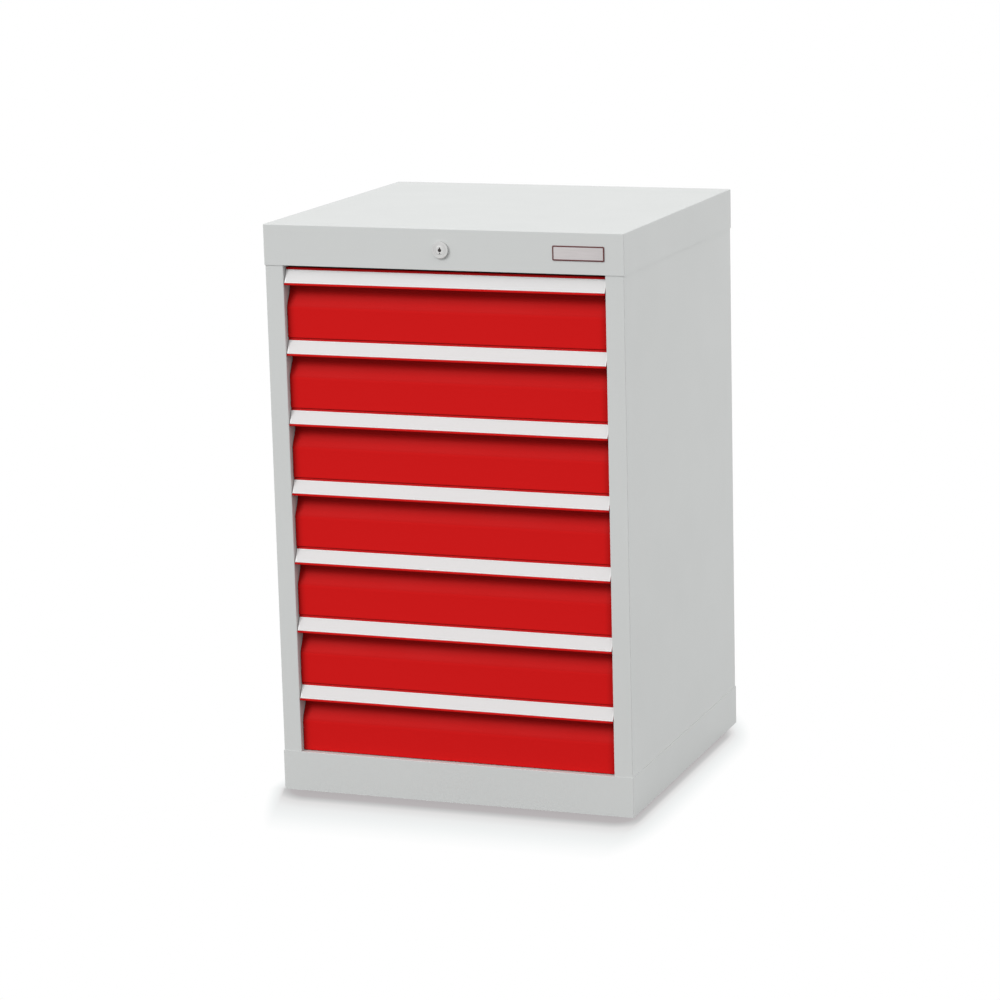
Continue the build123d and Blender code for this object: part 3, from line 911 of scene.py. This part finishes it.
class SectionTree(ShapeTree):
    """Geometry Nodes tree that draws a closed section out along Z, with its ends closed."""

    title = "drawn_out_section"
    given = {
        "Start": "NodeSocketVector",
        "End": "NodeSocketVector",
        "Finish": "NodeSocketMaterial",
    }

    def shape(self, inputs: bpy.types.NodeOutputs) -> NodeSocket:
        """Sweep the section along a straight line.

        Args:
            inputs: The tree's named inputs.

        Returns:
            The solid.
        """
        path = self.node(
            "GeometryNodeCurvePrimitiveLine", {"Start": inputs["Start"], "End": inputs["End"]}
        )
        sweep = self.node(
            "GeometryNodeCurveToMesh",
            {
                "Curve": path.outputs["Curve"], "Profile Curve": inputs["Geometry"],
                "Fill Caps": True,
            },
        )
        return sweep.outputs["Mesh"]

    def mesh(self, name: str, section: Loop, length: float, finish: Material) -> Mesh:
        """Draw a section out, with the origin halfway along it.

        Args:
            name: The mesh's name.
            section: Corners of the section, as (X, Y).
            length: The length along Z.
            finish: The material.

        Returns:
            The closed mesh.
        """
        curve = closed_curve(name + "_section", [section], "3D")
        ends = {"start": (0.0, 0.0, -length / 2), "end": (0.0, 0.0, length / 2)}
        return self.run(name, curve, finish=finish, **ends)


@dataclass
class Housing:
    """Cover, plinth, side, back and floor panels, the rivets behind and the posts inside."""

    palette: Palette
    nodes: dict[str, Object]
    rows: RowsTree
    rivets_up: int = 8
    rivet_inset: float = 0.0075
    rivet_end_gap: float = 0.045
    rivet_outline: tuple[Span, ...] = (
        (-0.0004, 0.0010), (0.0005, 0.0010), (0.0007, 0.0013), (0.0008, 0.0019),
        (0.0006, 0.0027), (0.0001, 0.0032), (-0.0004, 0.0032),
    )
    rivet_segments: int = 24
    painted: tuple[str, ...] = (
        "top_cover", "base_plinth", "floor_panel", "left_side_panel", "right_side_panel",
        "back_panel",
    )
    galvanised: tuple[str, ...] = ("rail_uprights", "left_cabinet_rails", "right_cabinet_rails")

    def dress(self) -> None:
        """Paint the panels, give the posts and rails their zinc, and set the rivets."""
        for name in self.painted:
            dress(self.nodes[name], self.palette["housing_paint"])
        for name in self.galvanised:
            dress(self.nodes[name], self.palette["galvanised_steel"])
        dress(self.nodes["rail_screws"], self.palette["zinc_steel"])
        self.build_rivets()
        log.info("housing dressed: %d nodes", len(self.painted) + len(self.galvanised) + 1)

    def build_rivets(self) -> None:
        """Set painted blind rivets up both rear flanges, where they hold the back panel."""
        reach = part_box("right_side_panel")[1]
        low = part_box("base_plinth")[1].z + self.rivet_end_gap
        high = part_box("top_cover")[0].z - self.rivet_end_gap
        column = reach.x - self.rivet_inset
        shape = turned_mesh("rivet", self.rivet_outline, self.rivet_segments)
        rivet = object_from("rivet", shape)
        mesh = self.rows.mesh(
            "rear_rivets",
            shape=rivet,
            start=(-column, reach.y, low),
            column_step=(2 * column, 0.0, 0.0),
            columns=len(Side),
            row_step=(0.0, 0.0, (high - low) / (self.rivets_up - 1)),
            rows=self.rivets_up,
            spin_axis=(0.0, 1.0, 0.0),
            seed=DRAWER_COUNT,
            finish=self.palette["housing_paint"],
        )
        bpy.data.objects.remove(rivet)
        shade_by_angle(mesh)
        piece = object_from("rear_rivets", mesh)
        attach(piece, "housing")
        log.info("rear_rivets: %d rivets", len(Side) * self.rivets_up)


@dataclass
class Drawers:
    """Fronts, label holders, trays and rails of the seven drawers."""

    palette: Palette
    nodes: dict[str, Object]
    sections: SectionTree
    lean: float = 24.5
    bead_height: float = 0.0017
    bead_bend: float = 0.0004
    face_depth: float = 0.0003
    card_gap: float = 0.0002
    card_end_gap: float = 0.002
    card_thickness: float = 0.0002
    bend_steps: int = 4

    def strip_sizes(self, number: int) -> tuple[Vector, Vector, float, float]:
        """Work a label strip's place and size out from its node's box.

        Args:
            number: The drawer's number, from the top.

        Returns:
            The box's lowest and highest corner, the strip's height along the lean and its
            thickness.
        """
        low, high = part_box(f"label_strip_{number}")
        back, up = math.sin(math.radians(self.lean)), math.cos(math.radians(self.lean))
        depth, rise = high.y - low.y, high.z - low.z
        height = (rise * up - depth * back) / (up * up - back * back)
        thickness = (depth - height * back) / up
        return low, high, height, thickness

    def lay_on_ledge(self, mesh: Mesh, foot: Vector) -> None:
        """Lean a strip's mesh on the ledge, with its foot in place.

        Args:
            mesh: The strip: X is how proud it stands, Y goes up it and Z along it.
            foot: The back lower edge's place at the strip's middle.
        """
        upright = Matrix(((0, 0, 1, 0), (-1, 0, 0, 0), (0, 1, 0, 0), (0, 0, 0, 1)))
        lean = Matrix.Rotation(-math.radians(self.lean), 4, "X")
        mesh.transform(Matrix.Translation(foot) @ lean @ upright)

    def holder_section(self, height: float, thickness: float) -> list[Span]:
        """Draw the holder's section: a flat back, a sunk face and a round bead at each edge.

        Args:
            height: The strip's height along the lean.
            thickness: The strip's thickness at its beads.

        Returns:
            The corners, as (proud of the back, up).
        """
        bend, bead, face = self.bead_bend, self.bead_height, thickness - self.face_depth
        beads = []
        for edge in (bend, height - bead + bend):
            for up, start in ((edge, -90), (edge + bead - 2 * bend, 0)):
                middle = (thickness - bend, up)
                beads += arc_points(middle, bend, start, start + 90, self.bend_steps)
        half = len(beads) // 2
        return [
            (0.0, 0.0), *beads[:half], (face, bead), (face, height - bead), *beads[half:],
            (0.0, height),
        ]

    def card_section(self, height: float, thickness: float) -> list[Span]:
        """Draw the card's section, standing on the sunk face between the beads.

        Args:
            height: The strip's height along the lean.
            thickness: The strip's thickness at its beads.

        Returns:
            The corners, as (proud of the back, up).
        """
        low = self.bead_height + self.card_gap
        back = thickness - self.face_depth
        front = back + self.card_thickness
        return [(back, low), (front, low), (front, height - low), (back, height - low)]

    def build_strip(self, number: int) -> None:
        """Build one drawer's label holder and card, in place of the strip's plain node.

        Args:
            number: The drawer's number, from the top.
        """
        low, high, height, thickness = self.strip_sizes(number)
        lean = math.radians(self.lean)
        foot = Vector(((low.x + high.x) / 2, low.y + thickness * math.cos(lean), low.z))
        length = high.x - low.x
        for piece_name, section, span, finish in (
            ("label_holder", self.holder_section(height, thickness), length, "label_white"),
            (
                "label_card", self.card_section(height, thickness),
                length - 2 * self.card_end_gap, "label_card",
            ),
        ):
            name = f"{piece_name}_{number}"
            mesh = self.sections.mesh(name, section, span, self.palette[finish])
            self.lay_on_ledge(mesh, foot)
            shade_by_angle(mesh)
            piece = object_from(name, mesh)
            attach(piece, f"drawer_{number}")
            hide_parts(f"label_strip_{number}")
            log.info("%s: %.1f mm long", name, span * 1000)

    def dress(self) -> None:
        """Paint the fronts and trays and build the label holders."""
        for number in range(1, DRAWER_COUNT + 1):
            dress(self.nodes[f"drawer_front_{number}"], self.palette["drawer_paint"])
            dress(self.nodes[f"drawer_tray_{number}"], self.palette["tray_paint"])
            dress(self.nodes[f"drawer_rails_{number}"], self.palette["galvanised_steel"])
            self.build_strip(number)


@dataclass
class Slides:
    """Carriages and their ball-bearing rollers."""

    palette: Palette
    nodes: dict[str, Object]
    rows: RowsTree
    axle_diameter: float = 0.005
    rollers_up: int = 2
    rollers_along: int = 3
    chamfer: float = 0.0004
    shield_depth: float = 0.0005
    shield_share: Span = (0.28, 0.78)
    segments: int = 28

    def bearing(self, width: float, diameter: float) -> Object:
        """Build one roller: outer ring, sunk shields and inner ring.

        Args:
            width: The roller's width.
            diameter: The roller's outer diameter.

        Returns:
            The roller, turned round X at the origin.
        """
        half, outer, bore = width / 2, diameter / 2, self.axle_diameter / 2
        inner_edge, outer_edge = (bore + (outer - bore) * share for share in self.shield_share)
        sunk, cut = half - self.shield_depth, self.chamfer
        face = [
            (half - cut, outer), (half, outer - cut), (half, outer_edge), (sunk, outer_edge),
            (sunk, inner_edge), (half, inner_edge), (half, bore),
        ]
        outline = face + [(-along, radius) for along, radius in reversed(face)]
        mesh = turned_mesh("roller", outline, self.segments, Grain.ALONG_X)
        return object_from("roller", mesh)

    def build(self) -> None:
        """Dress the carriages and set a roller on every axle of every drawer."""
        for number in range(1, DRAWER_COUNT + 1):
            dress(self.nodes[f"slide_carriages_{number}"], self.palette["galvanised_steel"])
            self.build_rollers(number)

    def build_rollers(self, number: int) -> None:
        """Set one drawer's rollers out on both sides, by what their plain node measures.

        Args:
            number: The drawer's number, from the top.
        """
        low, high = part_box(f"slide_rollers_{number}")
        spots = [vert.co for vert in self.nodes[f"slide_rollers_{number}"].data.vertices]
        inner = min(x for x in (round(spot.x, DECIMALS) for spot in spots) if x > 0)
        lower_row = [spot.z for spot in spots if spot.z < (low.z + high.z) / 2]
        width, diameter = high.x - inner, max(lower_row) - min(lower_row)
        roller = self.bearing(width, diameter)
        along = (high.y - low.y - diameter) / (self.rollers_along - 1)
        parts = [
            self.rows.mesh(
                f"rollers_{number}_{side.name.lower()}",
                shape=roller,
                start=(
                    side.value * (inner + width / 2), low.y + diameter / 2, low.z + diameter / 2,
                ),
                column_step=(0.0, along, 0.0),
                columns=self.rollers_along,
                row_step=(0.0, 0.0, high.z - low.z - diameter),
                rows=self.rollers_up,
                spin_axis=(1.0, 0.0, 0.0),
                seed=number,
                finish=self.palette["roller_steel"],
            )
            for side in Side
        ]
        piece = object_from(f"bearing_rollers_{number}", joined_mesh(parts))
        bpy.data.objects.remove(roller)
        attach(piece, f"carriages_{number}")
        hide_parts(f"slide_rollers_{number}")
        count = len(parts) * self.rollers_up * self.rollers_along
        log.info("bearing_rollers_%d: %d rollers", number, count)


@dataclass
class Lock:
    """Cylinder lock in the header and the locking gear behind it."""

    palette: Palette
    nodes: dict[str, Object]
    face_radius: float = 0.0062
    face_lift: float = 0.0002
    face_root: float = 0.00005
    face_edge: float = 0.00008
    eye_radius: float = 0.0025
    eye_drop: float = 0.0003
    stem_half: float = 0.0008
    stem_top: float = 0.0038
    mark_drop: float = 0.0046
    mark_radius: float = 0.0009
    # Painted shade: a black plate behind the keyhole stands in for the dark keyway.
    shade_plate_lift: float = 0.00006
    shade_plate_half: float = 0.0032
    shade_plate_low: float = 0.0064
    shade_plate_high: float = 0.00448
    circle_steps: int = 48
    eye_steps: int = 24
    mark_steps: int = 12
    finishes: dict[str, str] = field(
        default_factory=lambda: {
            "lock_housing": "lock_metal",
            "lock_plug": "lock_metal",
            "lock_nut": "zinc_steel",
            "lock_cam": "zinc_steel",
            "transfer_rod": "zinc_steel",
            "locking_bar": "zinc_steel",
            "lock_guides": "guide_plastic",
        }
    )

    def build_face(self) -> None:
        """Lay the turned face on the plug, with keyhole, mark and a black plate of painted shade.
        """
        across, _, up = LOCK_AXIS
        front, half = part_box("lock_plug")[0].y, self.shade_plate_half
        disc = arc_points((across, up), self.face_radius, 0, 360, self.circle_steps)
        mark = arc_points((across, up - self.mark_drop), self.mark_radius, 0, 360, self.mark_steps)
        opening = math.degrees(math.asin(self.stem_half / self.eye_radius))
        keyhole = arc_points(
            (across, up - self.eye_drop), self.eye_radius, 90 + opening, 450 - opening,
            self.eye_steps,
        )
        keyhole += [(across + way * self.stem_half, up + self.stem_top) for way in (1, -1)]
        # Painted shade: the black plate's outline, behind the keyhole, where the keyway would be
        # dark.
        shade_plate = rounded_loop(
            across - half, up - self.shade_plate_low, across + half, up + self.shade_plate_high, half / 2
        )
        for name, loops, lift, edge, finish in (
            (
                "plug_face", [disc[:-1], keyhole, mark[:-1]], self.face_lift, self.face_edge,
                "lock_metal",
            ),
            ("keyhole_shutter", [shade_plate], self.shade_plate_lift, self.face_edge / 2, "keyhole_shade_black"),
        ):
            back = front + self.face_root
            mesh = upright_plate(name, loops, front - lift, back, edge, self.palette[finish])
            piece = object_from(name, mesh)
            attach(piece, "lock")
            log.info("%s: %d faces", name, len(mesh.polygons))

    def dress(self) -> None:
        """Give the lock and its gear their metals and plastics."""
        for name, finish in self.finishes.items():
            dress(self.nodes[name], self.palette[finish])
        self.build_face()
        log.info("lock dressed: %d nodes", len(self.finishes))


@dataclass
class NamePlate:
    """Blank plate at the header's right, with its dark enamelled edge."""

    palette: Palette
    rim_width: float = 0.0018
    corner: float = 0.0016
    face_drop: float = 0.0003
    edge: float = 0.0002

    def build(self) -> None:
        """Build the rim and the blank face, in place of the plate's plain node."""
        low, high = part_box("name_plate")
        outline, window, sheet = (
            rounded_loop(low.x + inset, low.z + inset, high.x - inset, high.z - inset, corner)
            for inset, corner in (
                (0.0, self.corner), (self.rim_width, self.corner / 2),
                (self.rim_width / 2, self.corner),
            )
        )
        for name, loops, front, finish in (
            ("name_plate_rim", [outline, window], low.y, "plate_edge"),
            ("name_plate_face", [sheet], low.y + self.face_drop, "plate_metal"),
        ):
            mesh = upright_plate(name, loops, front, high.y, self.edge, self.palette[finish])
            piece = object_from(name, mesh)
            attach(piece, "housing")
            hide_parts("name_plate")
            log.info("%s: %d faces", name, len(mesh.polygons))


@dataclass(frozen=True)
class Lamp:
    """A large soft lamp: where it hangs, the point it faces, its side and its watts."""

    name: str
    place: Point
    aim: Point
    size: float
    power: float

    def hang(self) -> None:
        """Hang the lamp, with its square face turned to its aim."""
        light = bpy.data.lights.new(self.name, "AREA")
        light.shape = "SQUARE"
        light.size = self.size
        light.energy = self.power
        item = object_from(self.name, light)
        item.location = self.place
        facing = Vector(self.aim) - Vector(self.place)
        item.rotation_euler = facing.to_track_quat("-Z", "Y").to_euler()


@dataclass
class Studio:
    """Floor, surrounding light, lamps and the photograph's camera."""

    floor_half: float = 40.0
    floor_bounce: Colour = (0.22, 0.22, 0.22)
    foot_low: Span = (-0.229, -0.250)
    foot_high: Span = (0.239, 0.214)
    corner_round: float = 0.036
    low_slope: Span = (5.5, 0.0)
    high_slope: Span = (2.2, 1.1)
    low_lean: Span = (-0.31, 0.0)
    high_lean: Span = (0.0, -1.6)
    shadow_end: float = 0.24
    shadow: tuple[tuple[float, Colour], ...] = (
        (0.0, from_screen(180, 176, 177)),
        (0.026, from_screen(184, 180, 181)),
        (0.036, from_screen(197, 197, 197)),
        (0.052, from_screen(224, 223, 223)),
        (0.080, from_screen(236, 237, 237)),
        (0.115, from_screen(242, 244, 244)),
        (0.155, from_screen(250, 251, 251)),
        (0.190, WHITE),
    )
    cover_reach: float = 0.5
    cover_least: float = 0.48
    cover_samples: int = 16
    sky_strength: float = 1.0
    lamps: tuple[Lamp, ...] = (
        Lamp("main_lamp", (-9.70, -14.10, 11.90), (0.0, 0.0, 0.40), 8.2, 2250.0),
        Lamp("fill_lamp", (6.30, 1.60, 1.70), (0.0, 0.0, 0.30), 2.6, 121.0),
    )
    camera_place: Point = (1.6950, -4.5018, 1.4245)
    camera_azimuth: float = 18.731
    camera_elevation: float = 11.958
    camera_roll: float = -1.039
    camera_lens: float = 121.063
    camera_shift: Span = (-0.120, -0.015)
    sensor_width: float = 36.0

    def build_world(self) -> None:
        """Light the cabinet from all round, with a white background behind it."""
        world = bpy.data.worlds.new("studio")
        world.use_nodes = True
        sheet = NodeSheet(world.node_tree)
        light, shown = (
            sheet.node("ShaderNodeBackground", {"Color": (*WHITE, 1.0), "Strength": strength})
            for strength in (self.sky_strength, 1.0)
        )
        sheet.show("ShaderNodeOutputWorld", light.outputs[0], shown.outputs[0])
        bpy.context.scene.world = world

    def past_corner(
        self, sheet: NodeSheet, place: NodeSocket, sign: float, corner: Span,
        start: float = 0.0,
    ) -> NodeSocket:
        """Give how far the floor's points lie outside a corner of the foot, along X and Y.

        Args:
            sheet: The floor's nodes.
            place: The points' coordinates.
            sign: 1 for the corner with the highest X and Y, -1 for the lowest.
            corner: The corner.
            start: How far outside it the count begins.

        Returns:
            The distances, none below 0.
        """
        shift = (-sign * corner[0] - start, -sign * corner[1] - start, 0.0)
        past = sheet.vector("MULTIPLY_ADD", place, (sign, sign, 0.0), shift)
        return sheet.vector("MAXIMUM", past, ORIGIN)

    def floor_light(self, sheet: NodeSheet) -> NodeSocket:
        """Give the floor's colour: white, darker near the foot and under what stands over it.

        Args:
            sheet: The floor's nodes.

        Returns:
            The colour.
        """
        place = sheet.node("ShaderNodeTexCoord").outputs["Object"]
        flow = ORIGIN
        for sign, corner, more, lean in (
            (1.0, self.foot_high, self.high_slope, self.high_lean),
            (-1.0, self.foot_low, self.low_slope, self.low_lean),
        ):
            past = self.past_corner(sheet, place, sign, corner)
            across = sheet.vector("CROSS_PRODUCT", past, UP)
            leant = sheet.vector("MULTIPLY_ADD", across, (*lean, 0.0), place)
            for start, slope in ((0.0, (1.0, 1.0)), (self.corner_round, more)):
                past = self.past_corner(sheet, leant, sign, corner, start)
                flow = sheet.vector("MULTIPLY_ADD", past, (*slope, 0.0), flow)
        share = sheet.number("DIVIDE", sheet.vector("LENGTH", flow), self.shadow_end)
        stops = [(distance / self.shadow_end, colour) for distance, colour in self.shadow]
        cover = sheet.node(
            "ShaderNodeAmbientOcclusion", {"Distance": self.cover_reach},
            samples=self.cover_samples,
        )
        open_share = sheet.ranged(cover.outputs["AO"], 0.0, 1.0, 0.0, self.cover_least)
        return sheet.scaled(sheet.ramp(share, stops), open_share)

    def build_floor(self) -> None:
        """Lay the pale floor, which keeps the cabinet's shadow."""
        half = self.floor_half
        mesh = bpy.data.meshes.new("floor")
        corners = [(-half, -half, 0.0), (half, -half, 0.0), (half, half, 0.0), (-half, half, 0.0)]
        mesh.from_pydata(corners, [], [(0, 1, 2, 3)])
        floor = object_from("floor", mesh)
        material = bpy.data.materials.new("studio_floor")
        material.use_nodes = True
        sheet = NodeSheet(material.node_tree)
        bounce = sheet.node("ShaderNodeBsdfDiffuse", {"Color": (*self.floor_bounce, 1.0)})
        shown = sheet.node("ShaderNodeEmission", {"Color": self.floor_light(sheet)})
        sheet.show("ShaderNodeOutputMaterial", bounce.outputs[0], shown.outputs[0])
        mesh.materials.append(material)

    def build_camera(self) -> None:
        """Set the camera up where the photograph was taken from."""
        azimuth, elevation = map(math.radians, (self.camera_azimuth, self.camera_elevation))
        forward = Vector(
            (
                -math.sin(azimuth) * math.cos(elevation),
                math.cos(azimuth) * math.cos(elevation),
                -math.sin(elevation),
            )
        )
        turn = forward.to_track_quat("-Z", "Y").to_matrix().to_4x4()
        roll = Matrix.Rotation(math.radians(self.camera_roll), 4, "Z")
        data = bpy.data.cameras.new("camera")
        data.lens = self.camera_lens
        data.sensor_width = self.sensor_width
        data.shift_x, data.shift_y = self.camera_shift
        camera = object_from("camera", data)
        camera.matrix_world = Matrix.Translation(self.camera_place) @ turn @ roll
        bpy.context.scene.camera = camera

    def build(self) -> None:
        """Build the whole studio and set the view transform."""
        self.build_world()
        self.build_floor()
        for lamp in self.lamps:
            lamp.hang()
        self.build_camera()
        bpy.context.scene.view_settings.view_transform = "Standard"
        log.info("studio built")


def main() -> None:
    """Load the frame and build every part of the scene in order."""
    logging.basicConfig(level=logging.INFO, format="%(name)s: %(message)s")
    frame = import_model()
    nodes = frame["nodes"]
    palette = Palette()
    Studio().build()
    rows = RowsTree()
    Housing(palette, nodes, rows).dress()
    Drawers(palette, nodes, SectionTree()).dress()
    Slides(palette, nodes, rows).build()
    Lock(palette, nodes).dress()
    NamePlate(palette).build()


if __name__ == "__main__":
    main()
